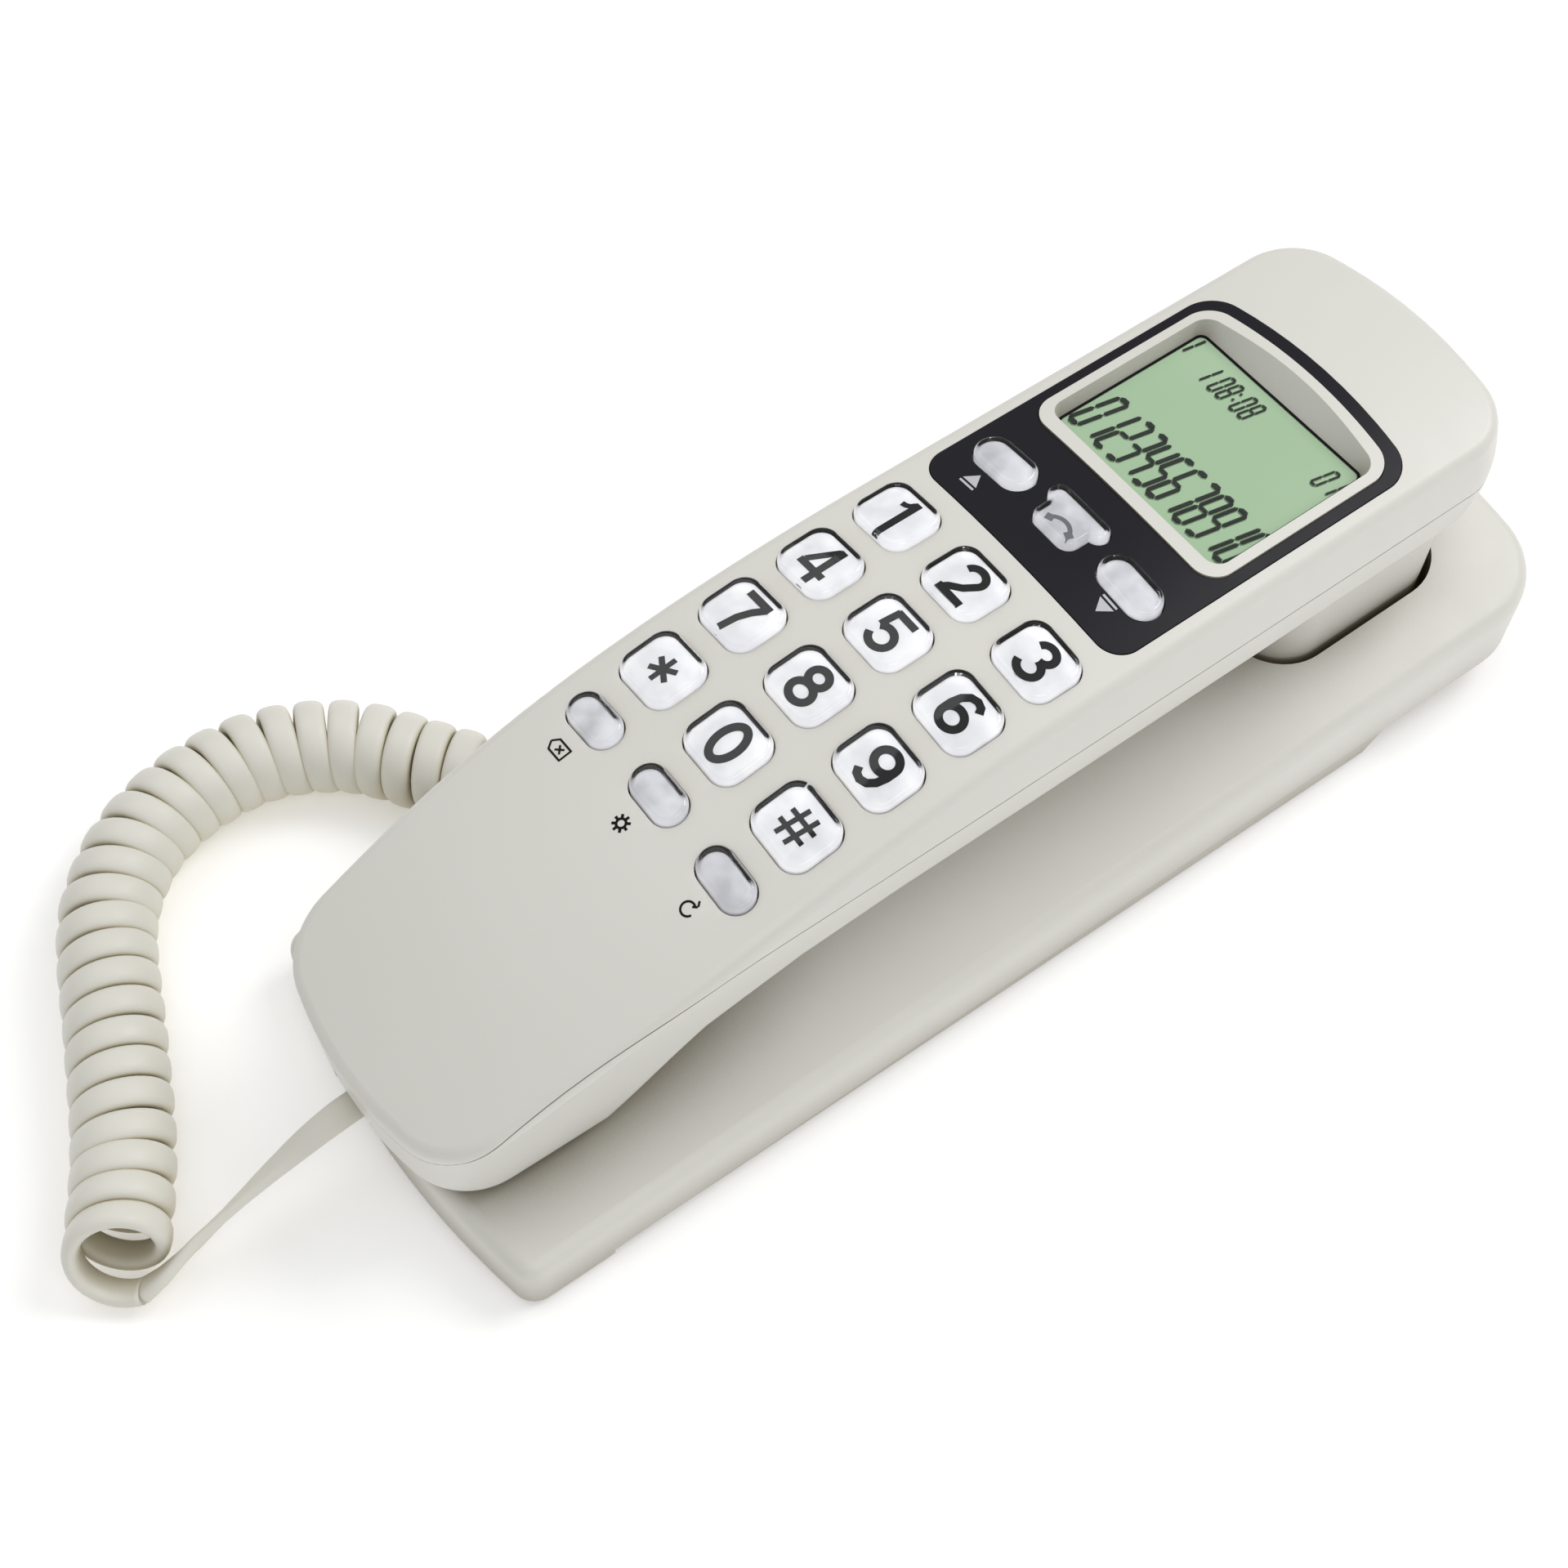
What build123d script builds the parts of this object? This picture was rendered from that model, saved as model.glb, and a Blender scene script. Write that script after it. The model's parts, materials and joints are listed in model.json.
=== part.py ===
"""Corded desk telephone: a one-piece handset with keypad and caller display, resting in a wedge base.

Millimetres, +Z up, +Y towards the ear end, origin on the table under the middle of the base.
"""
import math
import os

from build123d import *

os.makedirs("parts", exist_ok=True)

# ---- base ----
BASE_HALF_WIDTH = 36.5
BASE_FRONT = -111.7          # middle of the bowed mouth-end edge
BASE_FRONT_BOW = 4.5         # how far the corners sit behind the middle
BASE_FRONT_CORNER_R = 4.0
BASE_END = 111.7             # ear end
BASE_END_BOW = 2.0
BASE_END_CORNER_R = 15.0
BASE_TOP_AT_MIDDLE = 19.6    # height of the crowned top on the centre line at Y = 0
BASE_TOP_SLOPE = 0.05
BASE_CROWN_R = 190.0
BASE_TOP_FILLET = 3.0
BASE_WALL = 2.2
HOUSING_FOOT_Z = 1.0
STEP_Y = -92.0               # the bottom cover's skirt starts here
STEP_Z = 2.2
TAIL_Y = 74.0                # the underside steps up beyond this line
TAIL_Z = 6.4
COVER_INSET = 0.5
COVER_THICK = 2.0

# ---- well for the ear end ----
BOSS_HALF_WIDTH = 22.6
BOSS_FRONT = 53.0
BOSS_BACK = 95.3
BOSS_CORNER_R = 9.5
BOSS_BOTTOM_Z = 12.3
WELL_GAP = 1.3
WELL_FLOOR_Z = 12.0
WELL_WALL = 2.0

# ---- handset ----
FACE_HEIGHT = 62.5           # face above the table at the top key row
FACE_Y = -0.9                # position of the top key row along the base
FACE_TILT = 2.44             # face rises towards the ear end, degrees
CROWN_R = 151.5              # across the face
DROOP_R = 272.0              # along the face, below the top key row
HALF_WIDTH = 28.0            # at the parting line
HANDSET_WALL = 2.2
EAR_Y = 96.0
EAR_BOW = 3.2
EAR_CORNER_R = 11.0
MOUTH_Y = -115.6
MOUTH_BOW = 4.6
MOUTH_CORNER_R = 12.0
MOUTH_PINCH = 1.3              # how much narrower each side gets towards the mouth end
PINCH_START_Y = -38.0
END_WALL_DRAFT = 0.15          # share of the side walls' inset that the mouth-end wall takes
PARTING_Z = -12.5
PARTING_BEND_Y = -55.0
PARTING_END = (-120.0, -34.0)
SECTION = ((4.0, 1.9), (-5.0, 0.75), (-12.5, 0.0), (-18.0, 0.5), (-24.0, 1.5), (-33.0, 2.6), (-46.0, 5.4))
SEAM_GAP = 0.2
NOTCH_TOP_Z = -36.5            # the end wall stops here over the cord plug
GRIP_UNDER_Z = -23.5
MOUTH_UNDER_Z = -43.0
FACE_FILLET = 2.4
GRIP_FILLET = 4.0

# ---- keys ----
PITCH_X = 17.0
PITCH_Y = 14.77
KEY_SIZE = (12.2, 10.8)
KEY_CORNER_R = 3.2
KEY_PROUD = 1.5
KEY_CLEARANCE = 0.25
FLANGE = 0.7
STEM_BOTTOM_Z = -11.6
DOME_TOP_Z = -12.9
BOARD_TOP_Z = -14.6
OVAL_ROW_Y = -56.9
OVAL_SIZE = (11.0, 6.0)
PANEL_KEY_Y = 20.1
PANEL_KEY_X = 15.0
CALL_KEY_SIZE = (13.0, 8.4)

# ---- display ----
PANEL_HALF_WIDTH = 23.8
PANEL_MOUTH_Y = 9.4
PANEL_EAR_Y = 73.4
PANEL_BOW = 2.0
PANEL_THICK = 1.2
FRAME_HALF_WIDTH = 21.8
FRAME_MOUTH_Y = 29.9
FRAME_EAR_Y = 70.7
LCD_HALF_WIDTH = 19.2
LCD_Y = (33.8, 65.8)
LCD_DEPTH = 3.6

# ---- cord ----
CORD_COIL_R = 8.0
CORD_COIL_BORE_R = 5.4
CORD_PATH = (
    (-45.0, -65.0),
    (-52.0, -70.0),
    (-63.5, -79.0),
    (-70.5, -91.5),
    (-71.5, -104.5),
    (-68.0, -116.5),
    (-61.5, -125.0),
    (-53.0, -131.0),
    (-35.0, -139.5),
    (-18.0, -147.0),
    (-3.0, -154.0),
)
JACK_Y = -55.0

face_at = Pos(0, FACE_Y, FACE_HEIGHT) * Rot(FACE_TILT, 0, 0)


def save(shape, node):
    """One STEP file per piece."""
    shape.label = node
    export_step(shape, f"parts/{node}.step")


def block(x0, x1, y0, y1, z0, z1):
    """Box between two corners."""
    box = Box(x1 - x0, y1 - y0, z1 - z0)
    return Pos((x0 + x1) / 2, (y0 + y1) / 2, (z0 + z1) / 2) * box


def disc(x, y, z0, z1, radius):
    """Upright cylinder."""
    return Pos(x, y, (z0 + z1) / 2) * Cylinder(radius, z1 - z0)


def lozenge(half_width, y_front, y_back, bow_front, bow_back, r_front, r_back, pinch=0.0):
    """Plan outline with bowed, round-cornered ends; its sides draw in by pinch towards the front."""
    w = half_width
    v = half_width - pinch
    y_a, y_b = y_front + bow_front, y_back - bow_back
    if pinch:
        length = PINCH_START_Y - y_a
        side_a = Spline((v, y_a), (w, PINCH_START_Y), (w, y_b), tangents=[(2 * pinch, length), (0, 1)])
        side_b = Spline((-w, y_b), (-w, PINCH_START_Y), (-v, y_a), tangents=[(0, -1), (2 * pinch, -length)])
    else:
        side_a = Line((v, y_a), (w, y_b))
        side_b = Line((-w, y_b), (-v, y_a))
    back = ThreePointArc((w, y_b), (0, y_back), (-w, y_b))
    front = ThreePointArc((-v, y_a), (0, y_front), (v, y_a))
    edges = side_a + back + side_b + front
    face = make_face(edges)
    corners = face.vertices()
    face = fillet(corners.filter_by_position(Axis.Y, y_back - bow_back - 1, y_back), r_back)
    corners = face.vertices().filter_by_position(Axis.Y, y_front, y_front + bow_front + 0.01)
    return fillet(corners, r_front)


def prism(outline, z0, z1):
    """Outline pulled up from z0 to z1."""
    return extrude(Pos(0, 0, z0) * outline, amount=z1 - z0)


def rounded(width, depth, radius):
    """Rectangle with round corners, centred."""
    return RectangleRounded(width, depth, radius)


def side_prism(points, half_width):
    """Side profile in Y and Z pulled out evenly along X."""
    profile = make_face(Plane.YZ * Polyline(*points, close=True))
    return extrude(profile, amount=half_width, both=True)


# ------------------------------------------------------------------ face surface
def under_face(shift):
    """Everything below the crowned and drooping face, moved by shift along the face normal."""
    span = 45.0
    deep = -75.0
    drop = CROWN_R - math.sqrt(CROWN_R ** 2 - span ** 2)
    crown = ThreePointArc((-span, shift - drop), (0, shift), (span, shift - drop))
    rest = Polyline((span, shift - drop), (span, deep), (-span, deep), (-span, shift - drop))
    profile = make_face(Plane.XZ * (crown + rest))
    straight = extrude(profile, amount=125, dir=(0, 1, 0))
    hinge = Axis((0, 0, -DROOP_R), (1, 0, 0))
    return straight + revolve(profile, axis=hinge, revolution_arc=33)


def face_z(x, y):
    """Height of the face surface over a point of the face frame."""
    z = -CROWN_R + math.sqrt(CROWN_R ** 2 - x ** 2)
    if y < 0:
        z += -DROOP_R + math.sqrt(DROOP_R ** 2 - y ** 2)
    return z


# ------------------------------------------------------------------ handset body
def handset_block(wall):
    """Handset outside (wall = 0) or the space inside its walls, without the ear boss."""
    sections = []
    for z, inset in SECTION:
        w = HALF_WIDTH - inset - wall
        outline = lozenge(
            w, MOUTH_Y + inset * END_WALL_DRAFT + wall, EAR_Y - inset * 0.5 - wall, MOUTH_BOW, EAR_BOW,
            MOUTH_CORNER_R - wall / 2, EAR_CORNER_R - wall / 2, MOUTH_PINCH,
        )
        sections.append(Pos(0, 0, z) * outline)
    body = loft(sections)
    grip = GRIP_UNDER_Z + wall
    mouth = MOUTH_UNDER_Z + wall
    under = [
        (-130, 10), (130, 10), (130, grip), (-32, grip), (-50, grip - 1.6),
        (-66, grip - 6.5), (-84 - wall / 3, mouth), (-130, mouth),
    ]
    return body & side_prism(under, 45) & under_face(-wall)


def top_edges(body):
    """Edges where the face meets the sides of the handset."""
    def on_face(edge):
        mid = edge.position_at(0.5)
        at_rim = abs(mid.X) > 20 or abs(mid.Y) > 85
        return at_rim and abs(mid.Z - face_z(mid.X, mid.Y)) < 0.05

    return [edge for edge in body.edges() if on_face(edge)]


def bottom_edges(body):
    """Edges running round the underside of the handset."""
    found = []
    for edge in body.edges():
        mid = edge.position_at(0.5)
        crossing = edge.geom_type == GeomType.LINE
        mouth_wall = mid.Y < -95 and mid.Z > MOUTH_UNDER_Z + 1
        if mid.Z < GRIP_UNDER_Z + 0.1 and not crossing and not mouth_wall:
            found.append(edge)
    return found


def parting_solid():
    """Everything above the line where the two handset shells meet."""
    bend = TangentArc((PARTING_BEND_Y, PARTING_Z), PARTING_END, tangent=(-1, 0))
    rest = Polyline(
        PARTING_END, (-130, PARTING_END[1]), (-130, 30), (130, 30), (130, PARTING_Z),
        (PARTING_BEND_Y, PARTING_Z),
    )
    return extrude(make_face(Plane.YZ * (bend + rest)), amount=45, both=True)


# ------------------------------------------------------------------ base housing
def base_top(shift):
    """Everything below the crowned, sloping top of the base, moved up by shift."""
    span = 50.0
    top = BASE_TOP_AT_MIDDLE + shift
    drop = BASE_CROWN_R - math.sqrt(BASE_CROWN_R ** 2 - span ** 2)
    crown = ThreePointArc((-span, top - drop), (0, top), (span, top - drop))
    rest = Polyline((span, top - drop), (span, -30), (-span, -30), (-span, top - drop))
    profile = make_face(Plane.XZ * (crown + rest))
    return extrude(profile, amount=130, dir=(0, 1, BASE_TOP_SLOPE), both=True)


def base_outline(inset):
    """Footprint of the base, pulled in by inset."""
    return lozenge(
        BASE_HALF_WIDTH - inset, BASE_FRONT + inset, BASE_END - inset, BASE_FRONT_BOW, BASE_END_BOW,
        BASE_FRONT_CORNER_R - inset * 0.6, BASE_END_CORNER_R - inset,
    )


def well_outline(inset):
    """Plan of the ear boss, grown by a negative inset."""
    return lozenge(
        BOSS_HALF_WIDTH - inset, BOSS_FRONT + inset, BOSS_BACK - inset, 1.0, 1.6,
        BOSS_CORNER_R - inset, BOSS_CORNER_R - inset,
    )


SCREW_POSTS = ((-28.5, -76.0), (28.5, -76.0), (-29.5, 38.0), (29.5, 38.0))
PLUNGER_XY = (0.0, 59.0)

shell = prism(base_outline(0), -5, 45) & base_top(0)
rim = [e for e in shell.edges() if e.position_at(0.5).Z > 5 and e.length > 3 and not e.is_interior]
rim = [e for e in rim if abs(e.tangent_at(0.5).Z) < 0.5]
shell = fillet(rim, BASE_TOP_FILLET)
below = [
    (-130, -10), (-130, HOUSING_FOOT_Z), (STEP_Y, HOUSING_FOOT_Z), (STEP_Y, STEP_Z),
    (TAIL_Y, TAIL_Z), (130, TAIL_Z + 2.0), (130, -10),
]
shell = shell - side_prism(below, 50)
room = prism(base_outline(BASE_WALL), -5, 45) & base_top(-BASE_WALL)
room = room - block(-50, 50, TAIL_Y - 2, 130, -10, TAIL_Z + 3.0)
cup = prism(well_outline(-WELL_GAP - WELL_WALL), WELL_FLOOR_Z - WELL_WALL, 45) & shell
housing = shell - room + cup
housing = housing - prism(well_outline(-WELL_GAP), WELL_FLOOR_Z, 45)
housing = housing - disc(*PLUNGER_XY, 5, 20, 2.35)
for x, y in SCREW_POSTS:
    housing = housing + (disc(x, y, 4.5, 20, 3.4) & shell)
    housing = housing - disc(x, y, 4, 9.4, 1.5)
housing = housing - block(-45, -33, JACK_Y - 4.0, JACK_Y + 4.0, 3.7, 9.1)
housing = housing - block(-4.9, 4.9, 108, 120, 10.0, 16.8)
save(housing, "base_housing")

# ---- bottom cover ----
skirt = [
    (STEP_Y + 0.2, HOUSING_FOOT_Z), (TAIL_Y - 5.5, HOUSING_FOOT_Z), (TAIL_Y - 0.4, TAIL_Z - 0.3),
    (TAIL_Y - 0.4, TAIL_Z - 0.1), (STEP_Y + 0.2, STEP_Z - 0.1),
]
cover = prism(base_outline(COVER_INSET), 0, 10) & side_prism(skirt, 50)
cover = cover - block(-33.9, 33.9, STEP_Y + 2, TAIL_Y - 4, HOUSING_FOOT_Z + COVER_THICK, 12)
plate = prism(base_outline(BASE_WALL + 0.4), HOUSING_FOOT_Z, HOUSING_FOOT_Z + COVER_THICK)
cover = cover + (plate & block(-33.9, 33.9, -130, TAIL_Y - 6, -5, 10))
for x, y in SCREW_POSTS:
    cover = cover + disc(x, y, 2, 4.4, 4.2)
    cover = cover - disc(x, y, 0, 5, 1.6) - disc(x, y, 0, 2.6, 3.0)
ridge = prism(rounded(44, 118, 6), 0, HOUSING_FOOT_Z + 0.2) - prism(rounded(41, 115, 4.5), -1, 2)
cover = cover + Pos(0, -14, 0) * ridge
save(cover, "base_cover")

feet = [disc(x, y, 0, HOUSING_FOOT_Z, 4.5) for x in (-27, 27) for y in (-90, 60)]
save(Compound(children=feet), "base_feet")

screws = []
for x, y in SCREW_POSTS:
    cross = Box(3.4, 0.7, 1.0) + Box(0.7, 3.4, 1.0)
    head = disc(x, y, 1.2, 2.55, 2.7) - Pos(x, y, 1.4) * cross
    screws.append(head + disc(x, y, 2.5, 9.0, 1.4))
save(Compound(children=screws), "base_screws")

# ---- base electronics ----
pcb = block(-19, 19, -66, 68, 3.4, 4.8)
BASE_CHIPS = (
    (-8, -55, 9, 9, 4), (8, -56, 7, 5, 3), (10, 0, 8, 12, 3), (-10, 10, 6, 6, 5), (9, 24, 6, 10, 3),
)
for x, y, w, d, h in BASE_CHIPS:
    pcb = pcb + block(x - w / 2, x + w / 2, y - d / 2, y + d / 2, 4.8, 4.8 + h)
save(pcb, "base_circuit_board")
save(disc(-2, -32, 4.8, 6.4, 11) + disc(-2, -32, 6.4, 9.2, 9.5) - disc(-2, -32, 8, 10, 1.2), "ringer_disc")
save(block(-4.5, 4.5, 55.5, 62.5, 4.8, 5.9) + disc(*PLUNGER_XY, 5.9, 6.1, 1.5), "hook_switch")
plunger = disc(*PLUNGER_XY, 6.15, 6.85, 3.4) + disc(*PLUNGER_XY, 6.8, BOSS_BOTTOM_Z - 0.05, 2.2)
plunger = fillet(plunger.edges().sort_by(Axis.Z)[-1], 0.6)
save(plunger, "hook_plunger")

jack = block(-34.2, -21.5, JACK_Y - 5, JACK_Y + 5, 3.2, 9.3)
jack = jack - block(-36, -24, JACK_Y - 3.6, JACK_Y + 3.6, 4.0, 8.8)
save(jack, "base_cord_jack")
line_jack = block(-6.2, 6.2, 98.8, 109.2, 9.5, 17.9) - block(-4.8, 4.8, 100.5, 112, 10.1, 16.7)
save(line_jack, "line_jack")
plug = block(-43.2, -25.5, JACK_Y - 3.3, JACK_Y + 3.3, 4.3, 8.4)
plug = chamfer(plug.edges().filter_by(Axis.X), 0.5)
save(plug, "cord_plug_base")

# ---- handset cord ----
knots = [(x, y, CORD_COIL_R + 0.1) for x, y in CORD_PATH]
coil_line = Spline(*knots)
start = Plane(origin=coil_line @ 0, z_dir=coil_line % 0)
ring = start * (Circle(CORD_COIL_R) - Circle(CORD_COIL_BORE_R))
coil = sweep(ring, path=coil_line)
lead_line = Spline(
    (-46.2, -65.9, CORD_COIL_R + 6.8), (-46.6, -58.5, 11.5), (-44.8, JACK_Y, 6.4),
    tangents=[(0.6, 0.7, 0), (1, 0.1, -0.3)],
)
lead_at = Plane(origin=lead_line @ 0, z_dir=lead_line % 0)
lead = sweep(lead_at * Circle(1.5), path=lead_line)
save(coil + lead, "coiled_cord")

# ------------------------------------------------------------------ handset shells
outer = handset_block(0)
outer = fillet(top_edges(outer), FACE_FILLET)
outer = fillet(bottom_edges(outer), GRIP_FILLET)
inner = handset_block(HANDSET_WALL)
above = parting_solid()
hollow = outer - inner
face = under_face(0)
raised = under_face(KEY_PROUD)
ceiling = under_face(-HANDSET_WALL - 0.1)

KEYS = {}
names = (("1", "2", "3"), ("4", "5", "6"), ("7", "8", "9"), ("star", "0", "hash"))
for row, line in enumerate(names):
    for column, name in enumerate(line):
        KEYS["key_" + name] = ((column - 1) * PITCH_X, -row * PITCH_Y, "square")
for column, name in enumerate(("left", "middle", "right")):
    KEYS["key_function_" + name] = ((column - 1) * PITCH_X, OVAL_ROW_Y, "oval")
KEYS["key_list_up"] = (-PANEL_KEY_X, PANEL_KEY_Y, "panel_oval")
KEYS["key_call"] = (0.0, PANEL_KEY_Y, "call")
KEYS["key_list_down"] = (PANEL_KEY_X, PANEL_KEY_Y, "panel_oval")


def key_outline(kind, grow):
    """Plan of a key cap, grown all round."""
    if kind == "square":
        return rounded(KEY_SIZE[0] + 2 * grow, KEY_SIZE[1] + 2 * grow, KEY_CORNER_R + grow)
    if kind == "oval":
        return SlotOverall(OVAL_SIZE[0] + 2 * grow, OVAL_SIZE[1] + 2 * grow)
    if kind == "panel_oval":
        return SlotOverall(12.2 + 2 * grow, 6.6 + 2 * grow)
    width, depth = CALL_KEY_SIZE
    body = Pos(0, -0.9) * rounded(width - 3.6 + 2 * grow, depth - 1.8 + 2 * grow, 2.2 + grow)
    return body + Pos(0, depth / 2 - 1.9) * SlotOverall(width + 2 * grow, 3.8 + 2 * grow)


def make_key(x, y, kind):
    """Clear cap, retaining flange under the shell and stem down to the rubber mat."""
    at = Pos(x, y, 0)
    base_z = face_z(x, y) - HANDSET_WALL - 2.2
    cap = prism(at * key_outline(kind, 0), base_z, 4) & raised
    crown = [e for e in cap.edges() if e.position_at(0.5).Z > base_z + 3 and abs(e.tangent_at(0.5).Z) < 0.6]
    cap = fillet(crown, 0.9)
    flange = prism(at * key_outline(kind, FLANGE), base_z, 4) & ceiling
    return cap + flange + disc(x, y, STEM_BOTTOM_Z, base_z + 1, 2.0)


# ---- upper shell ----
upper = hollow & above
panel_outline = lozenge(PANEL_HALF_WIDTH, PANEL_MOUTH_Y, PANEL_EAR_Y, 0.3, PANEL_BOW, 4.5, 6.0)
recess_outline = lozenge(
    PANEL_HALF_WIDTH + 0.15, PANEL_MOUTH_Y - 0.15, PANEL_EAR_Y + 0.15, 0.3, PANEL_BOW, 4.6, 6.1,
)
recess_floor = under_face(-PANEL_THICK)
upper = upper - (prism(recess_outline, -8, 5) - recess_floor)
frame_outline = lozenge(FRAME_HALF_WIDTH, FRAME_MOUTH_Y, FRAME_EAR_Y, 0.5, 1.7, 4.5, 5.0)
frame_hole = lozenge(
    FRAME_HALF_WIDTH + 0.15, FRAME_MOUTH_Y - 0.15, FRAME_EAR_Y + 0.15, 0.5, 1.7, 4.6, 5.1,
)
upper = upper - prism(frame_hole, -15, 5)
HANDSET_SCREWS = ((-13.0, -78.0), (13.0, -78.0))
for x, y in HANDSET_SCREWS:
    upper = upper + (disc(x, y, -30.0, -2, 3.2) & inner) - disc(x, y, -31, -17, 1.6)
for x, y, kind in KEYS.values():
    upper = upper - prism(Pos(x, y, 0) * key_outline(kind, KEY_CLEARANCE), -12, 5)
save(face_at * upper, "handset_upper_shell")

# ---- lower shell with the ear boss ----
seam = above + Pos(0, 0, -SEAM_GAP) * above
lower = hollow - seam
for x, y in HANDSET_SCREWS:
    lower = lower + (disc(x, y, -45, -30.1, 4.4) & outer)
    lower = lower - disc(x, y, -50, -33.0, 3.2) - disc(x, y, -50, -28, 1.7)
lower = lower - block(-5.8, 5.8, -125, -94.8, -50, NOTCH_TOP_Z)
lower = lower - disc(11, -92, -50, -38, 0.9)
lower = face_at * lower
boss = prism(well_outline(0), BOSS_BOTTOM_Z, 43.4)
boss = fillet(boss.edges().filter_by_position(Axis.Z, BOSS_BOTTOM_Z - 0.1, BOSS_BOTTOM_Z + 0.1), 2.0)
bore = prism(well_outline(2.0), BOSS_BOTTOM_Z + 2.0, 50)
throat = bore & (face_at * inner)
lower = lower + boss - bore
lower = lower & (face_at * (outer + block(-40, 40, 40, 110, -80, -20)))
lower = lower - (face_at * seam)
for k in range(6):
    angle = math.radians(60 * k)
    lower = lower - disc(6 * math.cos(angle), 74.5 + 6 * math.sin(angle), 10, 16, 1.1)
lower = lower - disc(0, 74.5, 10, 16, 1.1)
save(lower, "handset_lower_shell")

# ---- display ----
panel = (prism(panel_outline, -6, 5) & under_face(0.12)) - recess_floor
panel = panel - prism(frame_hole, -15, 5)
for x, y, kind in KEYS.values():
    if y > 0.1:
        panel = panel - prism(Pos(x, y, 0) * key_outline(kind, KEY_CLEARANCE), -12, 5)
save(face_at * panel, "display_panel")

frame = prism(frame_outline, -6.2, 5) & under_face(0.45)
mouth = lozenge(LCD_HALF_WIDTH + 1.3, LCD_Y[0] - 1.6, LCD_Y[1] + 3.2, 0.4, 1.6, 3.4, 3.8)
throat = lozenge(LCD_HALF_WIDTH, LCD_Y[0], LCD_Y[1], 0.05, 0.05, 1.4, 1.4)
slope = loft([Pos(0, 0, -LCD_DEPTH) * throat, Pos(0, 0, 0.6) * mouth])
frame = frame - slope - block(-20.3, 20.3, LCD_Y[0] - 1, LCD_Y[1] + 1, -10, -LCD_DEPTH)
save(face_at * frame, "display_frame")
glass = block(-20.1, 20.1, LCD_Y[0] - 0.8, LCD_Y[1] + 0.8, -5.8, -LCD_DEPTH - 0.05)
save(face_at * glass, "display_glass")
holder = block(-20.1, 20.1, LCD_Y[0] + 3.0, LCD_Y[1] + 0.8, -8.0, -5.85)
for x in (-18, 18):
    holder = holder + block(x - 1, x + 1, LCD_Y[0] + 6, LCD_Y[1] - 2, BOARD_TOP_Z + 0.05, -7.5)
save(face_at * holder, "display_holder")
save(face_at * block(-17, 17, LCD_Y[0] - 0.4, LCD_Y[0] + 1.8, BOARD_TOP_Z + 0.05, -5.85), "display_connector")

# ---- keys, mat and circuit board ----
for node, (x, y, kind) in KEYS.items():
    save(face_at * make_key(x, y, kind), node)

mat = block(-22.5, 22.5, -61.5, 25.5, BOARD_TOP_Z + 0.05, BOARD_TOP_Z + 0.9)
for x, y, kind in KEYS.values():
    mat = mat + disc(x, y, BOARD_TOP_Z + 0.5, DOME_TOP_Z, 3.2)
save(face_at * mat, "keypad_mat")

board = block(-22.5, 22.5, -63, 86, BOARD_TOP_Z - 1.6, BOARD_TOP_Z)
for x, y, w, d in ((-10, -40, 9, 9), (6, -10, 12, 12), (-8, 20, 8, 5), (9, 45, 6, 9)):
    board = board + block(x - w / 2, x + w / 2, y - d / 2, y + d / 2, BOARD_TOP_Z - 3.4, BOARD_TOP_Z - 1.6)
save(face_at * board, "handset_circuit_board")

# ---- receiver and microphone ----
ring = disc(0, 74.5, BOSS_BOTTOM_Z + 2.05, BOSS_BOTTOM_Z + 3.0, 15) - disc(0, 74.5, 10, 20, 11)
save(ring, "receiver_gasket")
receiver = disc(0, 74.5, BOSS_BOTTOM_Z + 3.05, BOSS_BOTTOM_Z + 6.5, 15)
receiver = receiver + disc(0, 74.5, BOSS_BOTTOM_Z + 6.5, BOSS_BOTTOM_Z + 9.5, 9)
save(receiver, "receiver")
boot = disc(11, -92, -40.7, -35.5, 5.0) - disc(11, -92, -39.9, -30, 4.1) - disc(11, -92, -45, -39, 0.9)
save(face_at * boot, "microphone_boot")
save(face_at * disc(11, -92, -39.8, -36.4, 4.0), "microphone")

# ---- handset jack, plug, tail and screws ----
jack = block(-5.6, 5.6, -106.0, -95.0, -42.6, -33.8) - block(-3.7, 3.7, -112, -97.5, -41.8, -36.2)
save(face_at * jack, "handset_cord_jack")
plug = block(-3.4, 3.4, -112.6, -98.0, -41.4, -36.6)
plug = chamfer(plug.edges().filter_by(Axis.Y), 0.5)
save(face_at * plug, "cord_plug_handset")
tail_start = (face_at * Pos(0, -113.0, -39.2)).position
tail_line = Spline(
    tail_start, (-1.6, -122.0, 17.4), (-1.4, -134.0, 11.0), (0.8, -141.0, 7.4), (3.8, -147.0, 4.8),
    (5.2, -152.0, 3.4), (5.6, -156.0, 2.6),
    tangents=[(-0.1, -1, 0), (0.05, -1, -0.2)],
)
tail_at = Plane(origin=tail_line @ 0, z_dir=tail_line % 0)
save(sweep(tail_at * Circle(1.5), path=tail_line), "cord_tail")
screws = []
for x, y in HANDSET_SCREWS:
    head = disc(x, y, -34.6, -33.1, 2.9) - Pos(x, y, -34.4) * Box(0.7, 3.6, 1.0)
    screws.append(head + disc(x, y, -33.2, -19.0, 1.45))
save(face_at * Compound(children=screws), "handset_screws")
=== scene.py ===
"""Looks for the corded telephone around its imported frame: materials, prints, key cores and the cord."""
import json
import math

import bmesh
import bpy
import numpy as np
from mathutils import Matrix, Vector


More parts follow.
